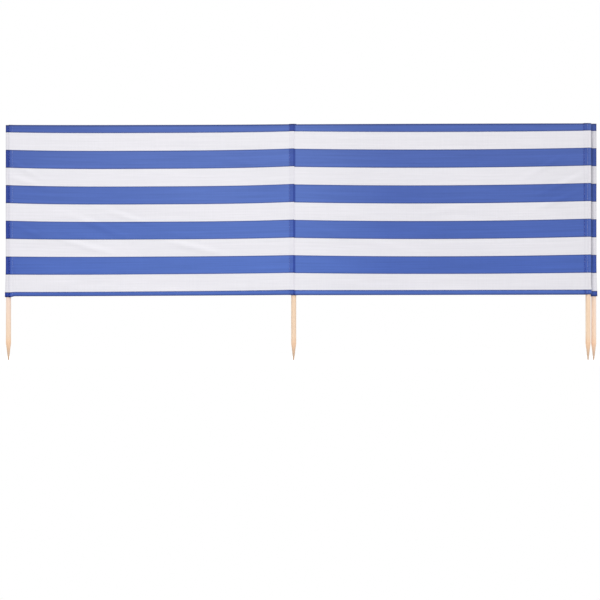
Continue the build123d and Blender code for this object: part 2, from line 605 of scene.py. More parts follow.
def cloth_object(name, grids, material):
    """A cloth piece with its map in metres, and the depth and shade of its colour by point."""
    vertices, faces, places, depths, shades = cloth_mesh(grids, CLOTH_THICKNESS)
    mesh = bpy.data.meshes.new(name)
    mesh.from_pydata(vertices.tolist(), [], faces.tolist())
    layer = mesh.uv_layers.new(name="cloth_metres")
    corners = np.zeros(len(mesh.loops), int)
    mesh.loops.foreach_get("vertex_index", corners)
    layer.data.foreach_set("uv", places[corners].ravel())
    # Depth of the blue, partly doubled cloth and partly painted shade, and painted shade, by point
    for label, values in (("blue_depth_and_shade", depths), ("shade", shades)):
        attribute = mesh.attributes.new(label, "FLOAT", "POINT")
        attribute.data.foreach_set("value", values.astype(np.float32))
    mesh.materials.append(material)
    piece = bpy.data.objects.new(name, mesh)
    bpy.context.scene.collection.objects.link(piece)
    select_only(piece)
    bpy.ops.object.mode_set(mode="EDIT")
    bpy.ops.mesh.select_all(action="SELECT")
    bpy.ops.mesh.remove_doubles(threshold=MERGE_DISTANCE)
    bpy.ops.object.mode_set(mode="OBJECT")
    bpy.ops.object.shade_smooth_by_angle(angle=SMOOTH_ANGLE)
    return piece


def select_only(piece):
    bpy.ops.object.select_all(action="DESELECT")
    piece.select_set(True)
    bpy.context.view_layer.objects.active = piece


def column_path(bay):
    """Columns of a bay's sheet: distance along, distance behind, and place on the flat cloth."""
    half = CLOTH_THICKNESS / 2
    first = bay.first + (0 if bay.seams[0] else half)
    last = bay.last - (0 if bay.seams[1] else half)
    columns = spaced(first, last)
    distance, behind, flat = list(columns), [0.0] * len(columns), list(columns)
    turn = turned_edge(EDGE_TURN, LAYER_STEP)
    lengths = path_lengths(turn)
    if not bay.seams[0]:
        distance = list(first + turn[::-1, 0]) + distance[1:]
        behind = list(turn[::-1, 1]) + behind[1:]
        flat = list(first - lengths[::-1]) + flat[1:]
    if not bay.seams[1]:
        distance = distance[:-1] + list(last - turn[:, 0])
        behind = behind[:-1] + list(turn[:, 1])
        flat = flat[:-1] + list(last + lengths)
    return np.array(distance), np.array(behind), np.array(flat)


def row_path(edge_share):
    """Rows of a bay's sheet from the cut edge of the bottom hem to that of the top hem: height,
    distance behind, and place on the flat cloth. Beside a pole the hems are trimmed short."""
    step = 2 * LAYER_STEP * (1 - TRIMMED_FLATTER * edge_share)
    inner = TRIMMED_TURN + (HEM_TURN - TRIMMED_TURN) * (1 - edge_share)
    bottom, top = (
        turned_edge(TRIMMED_HEM + (depth - TRIMMED_HEM) * (1 - edge_share), step, inner)
        for depth in (BOTTOM_HEM, TOP_HEM)
    )
    middle = spaced(bottom[0, 0], CLOTH_HEIGHT - top[0, 0])
    height = np.concatenate([bottom[::-1, 0], middle[1:-1], CLOTH_HEIGHT - top[:, 0]])
    behind = np.concatenate([bottom[::-1, 1], np.zeros(len(middle) - 2), top[:, 1]])
    flat = np.concatenate([
        bottom[0, 0] - path_lengths(bottom)[::-1], middle[1:-1],
        CLOTH_HEIGHT - top[0, 0] + path_lengths(top),
    ])
    return height, behind, flat


def make_canvas(bay, material):
    """One bay of the cloth, with its hems turned in and its side edges folded under."""
    distance, behind, flat_along = column_path(bay)
    shape = (len(row_path(0)[0]), len(distance))
    rows = [row_path(share) for share in (0, 1)]
    free = np.minimum(distance, bay.length - distance)
    trimmed = 1 - smooth_step(FLANGE_END, FLANGE_END + TRIM_WIDTH, free)
    height, tucked, flat_up = (
        rows[0][i][:, None] * (1 - trimmed) + rows[1][i][:, None] * trimmed for i in range(3)
    )
    along = np.broadcast_to(distance, shape)
    points = sheet_points(bay, along, height, tucked + behind)
    flat_along = np.broadcast_to(flat_along, shape)
    depth = canvas_depth_and_shade(bay, along, height)
    above, below = (folds_of(bay, along, height + side * FOLD_RUN / 2) for side in (1, -1))
    shade = shade_of(bay, along) * (1 - FOLD_SHADE * (above - below) / FOLD_RUN)
    grid = (points, flat_along, flat_up, depth, shade, False)
    return cloth_object("canvas_" + bay.name, [grid], material)


def shade_of(bay, distance):
    """Painted shade along a bay: how much darker its cloth is painted than at its brightest part."""
    return np.interp(distance, *zip(*bay.shade))


def canvas_depth_and_shade(bay, distance, height):
    """How deep the blue is: more where cloth lies double, and painted shade along the bay, in
    folds, along edges and sewn lines, and most in a seam.
    """
    tone = np.interp(distance, *zip(*bay.tone))
    level = np.clip(height / CLOTH_HEIGHT, 0, 1)
    lines = np.zeros(np.shape(distance))
    for place in (0, 1):
        from_axis = bay.from_pole(place, distance)
        edge = bay.from_end(place, distance)
        if bay.pockets[place]:
            band = 1 - smooth_step(FLANGE_END - BAND_BLUR, FLANGE_END + BAND_BLUR, from_axis)
            low, high = bay.bands[place]
            tone = np.maximum(tone, (low + (high - low) * level**BAND_POWER) * band)
            sewn = bay.from_sewn(place, distance, height) / SEWN_SHADE_WIDTH
            if not bay.seams[place]:
                # Painted crease shade beside a sewn line
                lines = np.maximum(lines, SEWN_SHADES[place] * np.exp(-(sewn**2)))
        if bay.seams[place]:
            # Painted crease shade in a seam
            lines = np.maximum(lines, SEAM_SHADE * np.exp(-((edge / SEAM_SHADE_WIDTH) ** 2)))
        else:
            # Painted shade along a folded side edge, which turns away from the light
            folded, reach = bay.edges[place]
            folded = folded * (1 - EDGE_FADE * level) * np.exp(-((edge / reach) ** 2))
            lines = np.maximum(lines, folded)
    from_top = CLOTH_HEIGHT - height
    bottom_depth, top_depth = HEM_DEPTHS[bay.name]
    doubled = top_depth * smooth_step(TOP_HEM + BAND_BLUR, TOP_HEM - BAND_BLUR, from_top)
    doubled += bottom_depth * smooth_step(BOTTOM_HEM + BAND_BLUR, BOTTOM_HEM - BAND_BLUR, height)
    # Painted shade along the top and bottom fold edges of the hems
    top_line = np.exp(-((np.maximum(from_top, 0) / TOP_LINE_WIDTH) ** 3))
    bottom_line = np.exp(-((height / BOTTOM_LINE_WIDTH) ** 2))
    lines = np.maximum(lines, TOP_LINE_SHADE * top_line)
    lines = np.maximum(lines, BOTTOM_LINE_SHADE * bottom_line)
    # Painted shade on the ridges and valleys of the folds
    ridges = np.abs(folds_of(bay, distance, height)) / RIDGE_RISE
    return np.maximum(tone + doubled + RIDGE_SHADE * ridges, lines)


def pocket_grid(pole):
    """Tube of cloth round a pole, its foot hemmed and flared, its top sewn shut like a bag."""
    pocket = POCKETS[pole]
    bay, place = pocket.bay, pocket.place
    low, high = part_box("sleeve_" + pole)
    hem = turned_edge(POCKET_HEM, LAYER_STEP)
    wall_top = high.z - low.z - pocket.trim - CLOSING_HEIGHT
    heights = list(hem[::-1, 0]) + list(spaced(hem[0, 0], wall_top, fine_last=False)[1:])
    insets = list(hem[::-1, 1]) + [0.0] * (len(heights) - len(hem))
    flats = list(hem[0, 0] - path_lengths(hem)[::-1]) + heights[len(hem):]
    shut = [0.0] * len(heights)
    for share in np.linspace(0, 1, CLOSING_ROWS + 1)[1:]:
        turn = share * math.pi / 2
        heights.append(wall_top + CLOSING_HEIGHT * math.sin(turn) - CLOSING_SAG * share)
        insets.append(0.0)
        flats.append(flats[-1] + CLOSING_ROW)
        shut.append(1 - math.cos(turn))
    heights, insets, flats, shut = (np.array(x)[:, None] for x in (heights, insets, flats, shut))
    turns = np.linspace(0, 2 * math.pi, POCKET_COLUMNS)[None, :]
    outer_half, inner_half = (np.maximum(side * np.sin(turns), 0) for side in (1, -1))
    tight = pole_width(pole) / 2 + CLOTH_THICKNESS / 2 + POCKET_EASE
    away = 1 - np.exp(-((np.minimum(turns, 2 * math.pi - turns) / SNUG_ANGLE) ** 2))
    ripple = away * (RIPPLE_LIFT + RIPPLE_RISE * ripple_of(pole, turns[0], heights[:, 0]))
    radius = tight + pocket_swell(heights) + (ripple - insets) * (1 - shut)
    outer_slack, inner_slack = pocket.slacks
    slack = POCKET_SLACK * np.clip(1 - heights / SLACK_REACH, 0, 1) ** SLACK_POWER
    slack = np.maximum(slack, outer_slack) * outer_half + inner_slack * inner_half
    side = -1 if place == 0 else 1
    middle = 0 if place == 0 else bay.length
    across = np.sin(turns) * side * (radius + slack + shut * CLOSED_SPREAD)
    out = np.cos(turns) * (radius * (1 - shut) + CLOSED_HALF)
    rise = low.z + heights - CORNER_DROP * shut * outer_half**6
    points = bay.place(across + middle, rise, out)
    around = turns * tight * side + 0 * heights
    # Painted shade is deepest at the outer side, which turns away from the light, and at the foot
    inner, in_front, outer = pocket.depths
    depth = in_front + (outer - in_front) * outer_half**2 + (inner - in_front) * inner_half**2
    depth = depth + CLOSING_DEPTH * shut
    depth = depth + FOOT_SHADE * np.exp(-((heights / FOOT_SHADE_WIDTH) ** 2))
    # Painted shade at foot and top; on the rear right pocket it is the shadow of the front one
    shade_foot, shade_top = pocket.shades
    shade = shade_foot + (shade_top - shade_foot) * np.clip(heights / CLOTH_HEIGHT, 0, 1)
    shade = shade_of(bay, middle + 0 * depth) * shade
    if side == 1:
        points, around, depth = points[:, ::-1], around[:, ::-1], depth[:, ::-1]
    above_foot = flats - bay.drops[place] * (1 - np.exp(-np.maximum(flats, 0) / bay.fades[place]))
    on_cloth = above_foot - bay.lifts[place] * np.exp((above_foot - CLOTH_HEIGHT) / LIFT_FADE)
    on_cloth = on_cloth + hang_of(bay, middle + 0 * on_cloth, on_cloth)
    return points, around, on_cloth + 0 * turns, depth, shade, True


def ripple_of(pole, turns, heights):
    """Ripples of a pocket's wall, one row for each height and one column for each turn."""
    seed = RIPPLE_SEED + list(POCKETS).index(pole)
    slant, up = RIPPLE_UP
    return np.array([
        [
            noise.noise(Vector((
                math.cos(t) * RIPPLE_ROUND, math.sin(t) * RIPPLE_ROUND + h * slant, h * up + seed
            )))
            for t in turns
        ]
        for h in heights
    ])


def flange_grid(bay, place):
    """Strip of the pocket's cloth that lies sewn behind the sheet."""
    widths = np.linspace(FLANGE_START, FLANGE_END, FLANGE_COLUMNS)[None, :]
    above_foot, below_top = FLANGE_INSETS
    heights = np.linspace(above_foot, CLOTH_HEIGHT - below_top, FLANGE_ROWS)[:, None] + 0 * widths
    distance = (widths if place == 0 else bay.length - widths[:, ::-1]) + 0 * heights
    points = sheet_points(bay, distance, heights, LAYER_STEP)
    depth = FLANGE_DEPTH + 0 * heights
    return points, distance, heights, depth, shade_of(bay, distance), False


def make_pocket(pole, material):
    pocket = POCKETS[pole]
    grids = [pocket_grid(pole), flange_grid(pocket.bay, pocket.place)]
    return cloth_object("pocket_" + pole, grids, material)


def model_stitch():
    """One stitch: a short plump thread whose two ends dip into the cloth."""
    bpy.ops.object.select_all(action="DESELECT")
    bpy.ops.mesh.primitive_uv_sphere_add(segments=6, ring_count=4, radius=0.5)
    stitch = bpy.context.object
    bpy.ops.object.mode_set(mode="EDIT")
    bpy.ops.mesh.select_all(action="SELECT")
    bpy.ops.transform.rotate(value=math.pi / 2, orient_axis="Y", center_override=(0, 0, 0))
    bpy.ops.transform.resize(value=(STITCH_LENGTH, THREAD_WIDTH, THREAD_WIDTH * THREAD_FLATNESS))
    bpy.ops.object.mode_set(mode="OBJECT")
    points = np.array([v.co for v in stitch.data.vertices])
    faces = [list(f.vertices) for f in stitch.data.polygons]
    points[:, 2] -= STITCH_DIP * THREAD_WIDTH * (2 * points[:, 0] / STITCH_LENGTH) ** 2
    bpy.data.objects.remove(stitch)
    return points, faces


def sewn_line(bay, first, last, behind):
    """Places of the stitches on one straight seam, as centres with the direction each runs in.
    first and last are (distance, height) on the sheet."""
    run = math.hypot(last[0] - first[0], last[1] - first[1])
    count = int(run / STITCH_PITCH)
    shares = (np.arange(count) + 0.5) / count
    step = 0.5 * STITCH_LENGTH / run
    ends = []
    for offset in (-step, 0, step):
        share = shares + offset
        distance = first[0] + (last[0] - first[0]) * share
        height = first[1] + (last[1] - first[1]) * share
        ends.append(sheet_points(bay, distance, height, behind))
    ahead = ends[2] - ends[0]
    ahead /= np.linalg.norm(ahead, axis=1, keepdims=True)
    return ends[1], ahead


def make_stitching(bay, stitch, material):
    """All the thread that shows on one bay, on both faces of the cloth."""
    half = CLOTH_THICKNESS / 2
    ends = (FLANGE_END + SEAM_END, bay.length - FLANGE_END - SEAM_END)
    lines = [
        (*((end, height) for end in ends), behind)
        for behind in (-half, 2 * LAYER_STEP + half)
        for height in (CLOTH_HEIGHT - TOP_HEM + SEAM_INSET, BOTTOM_HEM - SEAM_INSET)
    ]
    uprights = []
    for place in (0, 1):
        if bay.pockets[place]:
            uprights.append([bay.from_pole(place, sewn) for sewn in bay.sewn[place]])
        if not bay.seams[place]:
            uprights.append([bay.last - SEAM_INSET if place else bay.first + SEAM_INSET] * 2)
    for foot, top in uprights:
        lines.append(((foot, SEAM_END), (top, CLOTH_HEIGHT - SEAM_END), -half))
    template, template_faces = stitch
    vertices, faces = [], []
    outward = np.array(bay.outward)
    for first, last, behind in lines:
        centres, ahead = sewn_line(bay, first, last, behind)
        side = 1 if behind < 0 else -1
        over = outward * side
        across = np.cross(over, ahead)
        for centre, forward, beside in zip(centres, ahead, across):
            base = len(vertices)
            frame_axes = np.array([forward, beside, over])
            vertices.extend((template @ frame_axes + centre).tolist())
            faces.extend([[i + base for i in face] for face in template_faces])
    mesh = bpy.data.meshes.new("stitching_" + bay.name)
    mesh.from_pydata(vertices, [], faces)
    mesh.materials.append(material)
    piece = bpy.data.objects.new("stitching_" + bay.name, mesh)
    bpy.context.scene.collection.objects.link(piece)
    select_only(piece)
    bpy.ops.object.shade_smooth()
    return piece


# Noise of the materials, as features for each metre along three axes
WEFT_SLUBS = (6, 900, 1)
WARP_SLUBS = (900, 9, 1)
WEFT_BARS = (2, 110, 1)
STRIPE_WANDER = (60, 0, 1)
CLOTH_PATCHES = (2.2, 3.4, 1)
GRAIN_DRIFT = (30, 30, 1.6)
WOOD_FIBRES = (1500, 1500, 22)
WOOD_TONES = (16, 16, 2.5)
SAND_SMEARS = (120, 120, 18)

# Weave: its threads, how sharply warp and weft take turns on top, and how much the slubs of each
# show
THREAD_PITCH = 0.55 * MM
CROSSING_SHARPNESS = 1.6
WARP_SLUB_SHARE, WEFT_SLUB_SHARE = 0.35, 0.65

# Stripes: how far their edges wander, over what width they change, and the denser rim of the blue,
# which along the top and bottom folds of the cloth is painted shade
WANDER = 0.5 * MM
STRIPE_BLUR = 0.6 * MM
RIM_WIDTH = 6 * MM
RIM_SHARE = 0.8
FOLDED_RIM = 0.65

# Cloth: from which to which tone the slubs go, and how strong the bars and the depth are, first
# what blue adds and then what white has. Its roughness is less where a thread stands out
SLUB_TONES = (0.3, 0.7, 0.94, 1.04)
BAR_SHARES = (0.23, 0.11)
DEPTH_SHARES = (0.6, 0.4)
CLOTH_ROUGHNESS = (-0.08, 0.9)
CLOTH_RELIEF = 0.12 * MM
THREAD_RELIEF = 0.08 * MM

# Grain: its bands, how it lies across the pole, drifts and leans, and how sharply a band ends
BAND_SPACING = 3.4 * MM
GRAIN_SLANT = 0.8
GRAIN_WANDER = 14 * MM
GRAIN_LEAN = 0.012
BAND_SHARPNESS = 2.5

# Wood: how its other tones fade away from the left pole, come in on the rear ones and grow
# upwards, and how much bands and fibres show. The paler tone on the rear poles is painted light,
# against the shade that the front poles cast on them
LEFT_FADE = (-1.6, 1)
REAR_START = 120
UPWARD_START = (5, -0.4)
REAR_UPWARD = (0.5, 0.5)
BAND_SHARE = 0.38
FIBRE_TONES = (0.16, 0.92)
WOOD_ROUGHNESS = (0.25, 0.5)
BAND_RELIEF = 0.4
WOOD_RELIEF = 0.15 * MM

# Heights between which the cut point of a pole is darker, and those where sand has soiled it
SMEAR_HEIGHT = 30 * MM
CUT_ENDS = (135 * MM, 85 * MM)
SOILED_ENDS = (105 * MM, 15 * MM)
SOILED_SHARE = 0.8


def new_material(name):
    material = bpy.data.materials.new(name)
    material.use_nodes = True
    nodes = material.node_tree.nodes
    return material, nodes, material.node_tree.links, nodes["Principled BSDF"]


def srgb(red, green, blue):
    """Colour of a shader socket for a colour as seen, each part from 0 to 255."""
    parts = [part / 255 for part in (red, green, blue)]
    return (*[p / 12.92 if p <= 0.04045 else ((p + 0.055) / 1.055) ** 2.4 for p in parts], 1)


LOWER_BLUES = (srgb(80, 111, 190), srgb(90, 120, 197))
UPPER_BLUES = (srgb(88, 112, 183), srgb(96, 121, 190))
RIM_BLUE = srgb(56, 68, 116)
WHITES = (srgb(230, 229, 234), srgb(238, 236, 241))
THREAD_WHITES = (srgb(206, 206, 214), srgb(236, 235, 240))
WARM_WOODS = (srgb(246, 219, 191), srgb(240, 214, 187))
LEFT_WOOD = srgb(243, 221, 206)
# Paler wood on the rear poles: painted light against the front poles' shade
REAR_LIT_WOOD = srgb(246, 226, 213)
GRAIN_TINT = srgb(226, 184, 142)
CUT_TINT = (1, 0.905, 0.835, 1)
SOILED_WOOD = srgb(188, 162, 139)


def new_group(name, inputs, outputs):
    """An empty shader node group. inputs are (name, socket type, default)."""
    group = bpy.data.node_groups.new(name, "ShaderNodeTree")
    for socket_name, kind, default in inputs:
        socket = group.interface.new_socket(socket_name, in_out="INPUT", socket_type=kind)
        if default is not None:
            socket.default_value = default
    for socket_name, kind in outputs:
        group.interface.new_socket(socket_name, in_out="OUTPUT", socket_type=kind)
    return group, group.nodes.new("NodeGroupInput"), group.nodes.new("NodeGroupOutput")


def math_node(group, operation, first, second=None, third=None, clamp=False):
    """A Math node; each operand is a socket or a number."""
    node = group.nodes.new("ShaderNodeMath")
    node.operation = operation
    node.use_clamp = clamp
    for index, operand in enumerate((first, second, third)):
        if operand is None:
            continue
        if isinstance(operand, (int, float)):
            node.inputs[index].default_value = operand
        else:
            group.links.new(operand, node.inputs[index])
    return node.outputs[0]


def stretched_noise(group, vector, scale, detail=2.0, roughness=0.5):
    """Noise whose features are drawn out: scale is per metre along each axis."""
    mapping = group.nodes.new("ShaderNodeMapping")
    mapping.inputs["Scale"].default_value = scale
    group.links.new(vector, mapping.inputs["Vector"])
    texture = group.nodes.new("ShaderNodeTexNoise")
    texture.inputs["Scale"].default_value = 1
    texture.inputs["Detail"].default_value = detail
    texture.inputs["Roughness"].default_value = roughness
    group.links.new(mapping.outputs[0], texture.inputs["Vector"])
    return texture.outputs["Fac"]


def blend_colours(group, kind, factor, first, second):
    """A colour Mix node; each operand is a socket, a number or a colour."""
    node = group.nodes.new("ShaderNodeMix")
    node.data_type = "RGBA"
    node.blend_type = kind
    for index, operand in ((0, factor), (6, first), (7, second)):
        if isinstance(operand, (int, float, tuple)):
            node.inputs[index].default_value = operand
        else:
            group.links.new(operand, node.inputs[index])
    return node.outputs[2]


def split_axes(tree, vector):
    """The parts of a vector along its three axes."""
    node = tree.nodes.new("ShaderNodeSeparateXYZ")
    tree.links.new(vector, node.inputs[0])
    return node.outputs


def remap(tree, value, low, high, to_low, to_high, kind="LINEAR"):
    """A Map Range node, clamped at both ends."""
    node = tree.nodes.new("ShaderNodeMapRange")
    node.interpolation_type = kind
    ends = (("From Min", low), ("From Max", high), ("To Min", to_low), ("To Max", to_high))
    for name, number in ends:
        node.inputs[name].default_value = number
    tree.links.new(value, node.inputs["Value"])
    return node.outputs[0]


def add_bump(tree, shader, height, distance, strength):
    """Fine relief of a surface, from a height that runs from 0 to 1."""
    bump = tree.nodes.new("ShaderNodeBump")
    bump.inputs["Strength"].default_value = strength
    bump.inputs["Distance"].default_value = distance
    tree.links.new(height, bump.inputs["Height"])
    tree.links.new(bump.outputs[0], shader.inputs["Normal"])


def weave_group():
    """Plain weave of round threads over the cloth's map, with the slubs of single threads and
    the faint bars of weft that was beaten up unevenly."""
    group, inside, outside = new_group(
        "plain_weave",
        [("Map", "NodeSocketVector", None), ("Thread pitch", "NodeSocketFloat", THREAD_PITCH)],
        [("Height", "NodeSocketFloat"), ("Slubs", "NodeSocketFloat"), ("Bars", "NodeSocketFloat")],
    )
    along, up, _ = split_axes(group, inside.outputs["Map"])
    turn = math_node(group, "DIVIDE", math.pi, inside.outputs["Thread pitch"])
    warp = math_node(group, "SINE", math_node(group, "MULTIPLY", up, turn))
    weft = math_node(group, "SINE", math_node(group, "MULTIPLY", along, turn))
    crossing = math_node(group, "MULTIPLY", warp, weft)
    over = math_node(group, "MULTIPLY_ADD", crossing, CROSSING_SHARPNESS, 0.5, True)
    warp_top = math_node(group, "MULTIPLY", math_node(group, "ABSOLUTE", warp), over)
    under = math_node(group, "SUBTRACT", 1, over)
    weft_top = math_node(group, "MULTIPLY", math_node(group, "ABSOLUTE", weft), under)
    group.links.new(math_node(group, "ADD", warp_top, weft_top), outside.inputs["Height"])
    long_slubs = stretched_noise(group, inside.outputs["Map"], WEFT_SLUBS, detail=1)
    short_slubs = stretched_noise(group, inside.outputs["Map"], WARP_SLUBS, detail=1)
    weft_slubs = math_node(group, "MULTIPLY", long_slubs, WEFT_SLUB_SHARE)
    slubs = math_node(group, "MULTIPLY_ADD", short_slubs, WARP_SLUB_SHARE, weft_slubs)
    group.links.new(slubs, outside.inputs["Slubs"])
    bars = stretched_noise(group, inside.outputs["Map"], WEFT_BARS, detail=2, roughness=0.6)
    group.links.new(bars, outside.inputs["Bars"])
    return group


def stripes_group():
    """Woven stripes by height on the cloth: where it is blue, and the denser rim of the blue,
    which along the top and bottom folds is painted shade.
    """
    group, inside, outside = new_group(
        "woven_stripes",
        [("Map", "NodeSocketVector", None)],
        [("Blue", "NodeSocketFloat"), ("Rim", "NodeSocketFloat")],
    )
    up = split_axes(group, inside.outputs["Map"])[1]
    wander = stretched_noise(group, inside.outputs["Map"], STRIPE_WANDER, detail=2)
    height = math_node(group, "MULTIPLY_ADD", wander, WANDER, up)
    below_top = math_node(group, "SUBTRACT", CLOTH_HEIGHT - TOP_BLUE + WANDER / 2, height)
    repeat = BLUE_STRIPE + WHITE_STRIPE
    within = math_node(group, "FLOORED_MODULO", below_top, repeat)
    into_blue = math_node(group, "SUBTRACT", within, WHITE_STRIPE)
    out_of_blue = math_node(group, "SUBTRACT", repeat, within)
    inner = math_node(group, "MINIMUM", into_blue, out_of_blue)
    edge = math_node(group, "MAXIMUM", inner, math_node(group, "SUBTRACT", BOTTOM_BLUE, height))
    sharp = math_node(group, "MULTIPLY_ADD", edge, 1 / STRIPE_BLUR, 0.5, True)
    group.links.new(sharp, outside.inputs["Blue"])
    # The rim along the top and bottom folds is painted shade
    from_top = math_node(group, "SUBTRACT", CLOTH_HEIGHT, height)
    from_fold = math_node(group, "ABSOLUTE", math_node(group, "MINIMUM", height, from_top))
    by_fold = math_node(group, "MULTIPLY", from_fold, FOLDED_RIM)
    nearest = math_node(group, "MINIMUM", edge, by_fold)
    near = math_node(group, "MULTIPLY", nearest, -1 / RIM_WIDTH)
    rim = math_node(group, "MULTIPLY", math_node(group, "ADD", near, 1, None, True), sharp)
    group.links.new(rim, outside.inputs["Rim"])
    return group


def use_group(tree, group, **values):
    """A group placed in a material with its own values, each named as its input."""
    node = tree.nodes.new("ShaderNodeGroup")
    node.node_tree = group
    for name, value in values.items():
        node.inputs[name.replace("_", " ")].default_value = value
    return node


def canvas_material(groups):
    """Blue and white striped cloth, matt, its blue deeper where it lies double, and darker with
    painted shade in folds, seams, along edges and along the bay.
    """
    material, nodes, links, shader = new_material("striped_canvas")
    tree = material.node_tree
    cloth_map = nodes.new("ShaderNodeUVMap")
    cloth_map.uv_map = "cloth_metres"
    depth_and_shade_value = nodes.new("ShaderNodeAttribute")
    depth_and_shade_value.attribute_name = "blue_depth_and_shade"
    shade = nodes.new("ShaderNodeAttribute")
    shade.attribute_name = "shade"
    weave = use_group(tree, groups["weave"], Thread_pitch=THREAD_PITCH)
    stripes = use_group(tree, groups["stripes"])
    for node in (weave, stripes):
        links.new(cloth_map.outputs[0], node.inputs["Map"])
    patches = stretched_noise(tree, cloth_map.outputs[0], CLOTH_PATCHES, detail=3)
    up = split_axes(tree, cloth_map.outputs[0])[1]
    level = math_node(tree, "MULTIPLY", up, 1 / CLOTH_HEIGHT, None, True)
    lower_blue = blend_colours(tree, "MIX", patches, *LOWER_BLUES)
    upper_blue = blend_colours(tree, "MIX", patches, *UPPER_BLUES)
    blue = blend_colours(tree, "MIX", level, lower_blue, upper_blue)
    rim_share = math_node(tree, "MULTIPLY", stripes.outputs["Rim"], RIM_SHARE)
    rimmed = blend_colours(tree, "MIX", rim_share, blue, RIM_BLUE)
    white = blend_colours(tree, "MIX", patches, *WHITES)
    plain = blend_colours(tree, "MIX", stripes.outputs["Blue"], white, rimmed)
    slub_tone = remap(tree, weave.outputs["Slubs"], *SLUB_TONES)
    toned = blend_colours(tree, "MULTIPLY", 1.0, plain, slub_tone)
    bar_share = math_node(tree, "MULTIPLY_ADD", stripes.outputs["Blue"], *BAR_SHARES)
    bar = math_node(tree, "SUBTRACT", weave.outputs["Bars"], 0.5)
    barred = math_node(tree, "MULTIPLY_ADD", bar, bar_share, 1)
    toned = blend_colours(tree, "MULTIPLY", 1.0, toned, barred)
    # The depth deepens the blue where cloth lies double and paints shade in folds, seams and along
    # edges
    share = math_node(tree, "MULTIPLY_ADD", stripes.outputs["Blue"], *DEPTH_SHARES)
    depth = math_node(tree, "MULTIPLY", depth_and_shade_value.outputs["Fac"], share)
    deep = blend_colours(tree, "MULTIPLY", math_node(tree, "MINIMUM", depth, 1), toned, toned)
    beyond = math_node(tree, "SUBTRACT", depth, 1, None, True)
    deepest = blend_colours(tree, "MULTIPLY", beyond, deep, toned)
    # The shade attribute multiplies in painted shade
    shaded = blend_colours(tree, "MULTIPLY", 1.0, deepest, shade.outputs["Fac"])
    links.new(shaded, shader.inputs["Base Color"])
    rough = math_node(tree, "MULTIPLY_ADD", weave.outputs["Height"], *CLOTH_ROUGHNESS)
    links.new(rough, shader.inputs["Roughness"])
    shader.inputs["Specular IOR Level"].default_value = 0.25
    shader.inputs["Sheen Weight"].default_value = 0.06
    add_bump(tree, shader, weave.outputs["Height"], distance=CLOTH_RELIEF, strength=0.35)
    return material


def thread_material():
    """White sewing thread, its twist showing as a fine slant."""
    material, nodes, links, shader = new_material("sewing_thread")
    place = nodes.new("ShaderNodeTexCoord")
    twist = nodes.new("ShaderNodeTexWave")
    twist.wave_type = "BANDS"
    twist.bands_direction = "DIAGONAL"
    twist.inputs["Scale"].default_value = 900
    links.new(place.outputs["Object"], twist.inputs["Vector"])
    tone = blend_colours(material.node_tree, "MIX", twist.outputs["Fac"], *THREAD_WHITES)
    links.new(tone, shader.inputs["Base Color"])
    shader.inputs["Roughness"].default_value = 0.6
    add_bump(material.node_tree, shader, twist.outputs["Fac"], distance=THREAD_RELIEF, strength=1)
    return material


def grain_group():
    """Straight grain of a turned softwood pole: growth bands, pores and a slow change of tone."""
    group, inside, outside = new_group(
        "wood_grain",
        [("Place", "NodeSocketVector", None), ("Band spacing", "NodeSocketFloat", BAND_SPACING)],
        [("Bands", "NodeSocketFloat"), ("Fibres", "NodeSocketFloat"), ("Tone", "NodeSocketFloat")],
    )
    place = inside.outputs["Place"]
    x, y, z = split_axes(group, place)
    drift = stretched_noise(group, place, GRAIN_DRIFT, detail=3)
    slant = math_node(group, "MULTIPLY_ADD", y, GRAIN_SLANT, x)
    bent = math_node(group, "MULTIPLY_ADD", drift, GRAIN_WANDER, slant)
    leaning = math_node(group, "MULTIPLY_ADD", z, GRAIN_LEAN, bent)
    cycles = math_node(group, "DIVIDE", leaning, inside.outputs["Band spacing"])
    saw = math_node(group, "FRACT", cycles)
    group.links.new(math_node(group, "POWER", saw, BAND_SHARPNESS), outside.inputs["Bands"])
    fibres = stretched_noise(group, place, WOOD_FIBRES, detail=2)
    group.links.new(fibres, outside.inputs["Fibres"])
    group.links.new(stretched_noise(group, place, WOOD_TONES, detail=2), outside.inputs["Tone"])
    return group


